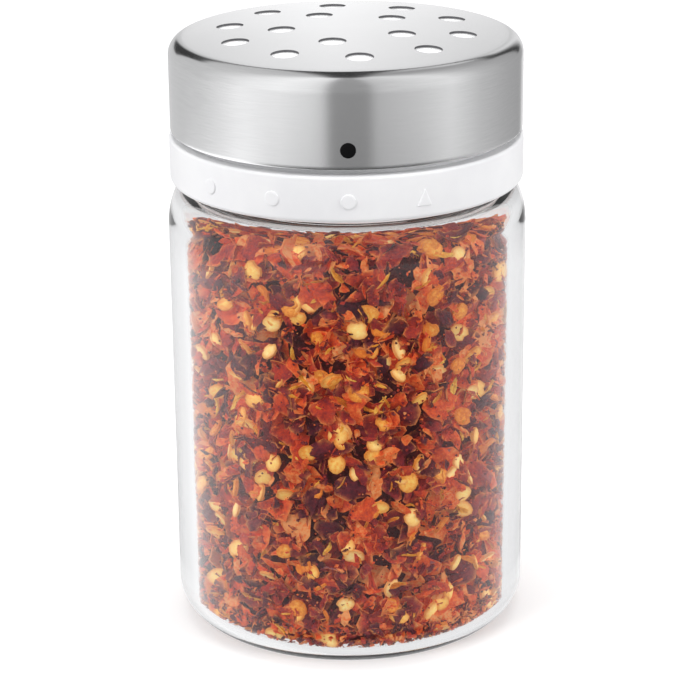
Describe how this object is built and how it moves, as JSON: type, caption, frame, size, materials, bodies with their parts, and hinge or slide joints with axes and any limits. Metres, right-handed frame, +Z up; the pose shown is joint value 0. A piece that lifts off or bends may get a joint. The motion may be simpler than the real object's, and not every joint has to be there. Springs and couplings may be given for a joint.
{
  "type": "spice shaker",
  "caption": "Glass shaker jar filled with chili flakes, with a white screw collar that carries setting marks and a perforated steel dial cap that opens and closes a shutter.",
  "frame": {"origin": "centre of the ring that the jar stands on", "axes": "+Z up along the jar's axis, -Y towards the index dot, +X to the dot's right seen from the front"},
  "size_m": [0.066, 0.066, 0.1132],
  "materials": {
    "clear_glass": "clear moulded soda glass",
    "chili_flakes": "dry crushed chili flakes with pale yellow seeds",
    "silicone": "translucent white silicone, matt",
    "white_plastic": "satin white moulded plastic",
    "brushed_steel": "stainless steel, brushed round the axis",
    "liner_plastic": "satin white moulded plastic",
    "black_plastic": "matt black plastic"
  },
  "bodies": {
    "jar": {"glass_jar": "clear_glass", "chili_flakes": "chili_flakes"},
    "seal": {"rim_gasket": "silicone"},
    "collar": {"threaded_collar": "white_plastic", "shutter_plate": "white_plastic"},
    "dial": {"steel_cap": "brushed_steel", "cap_liner": "liner_plastic", "index_dot": "black_plastic"}
  },
  "joints": [
    {"name": "lid_rise", "type": "slide", "parent": "jar", "child": "seal", "axis": [0, 0, 1], "range_m": [0, 0.0136]},
    {"name": "lid_unscrew", "type": "hinge", "parent": "seal", "child": "collar", "pos_m": [0, 0, 0.09], "axis": [0, 0, 1], "range_deg": [0, 405]},
    {"name": "dial_turn", "type": "hinge", "parent": "collar", "child": "dial", "pos_m": [0, 0, 0.1], "axis": [0, 0, 1], "range_deg": [-48, 24]}
  ],
  "couplings": [
    {"joint": "lid_rise", "follows": "lid_unscrew", "m_per_rad": 0.0019099}
  ]
}
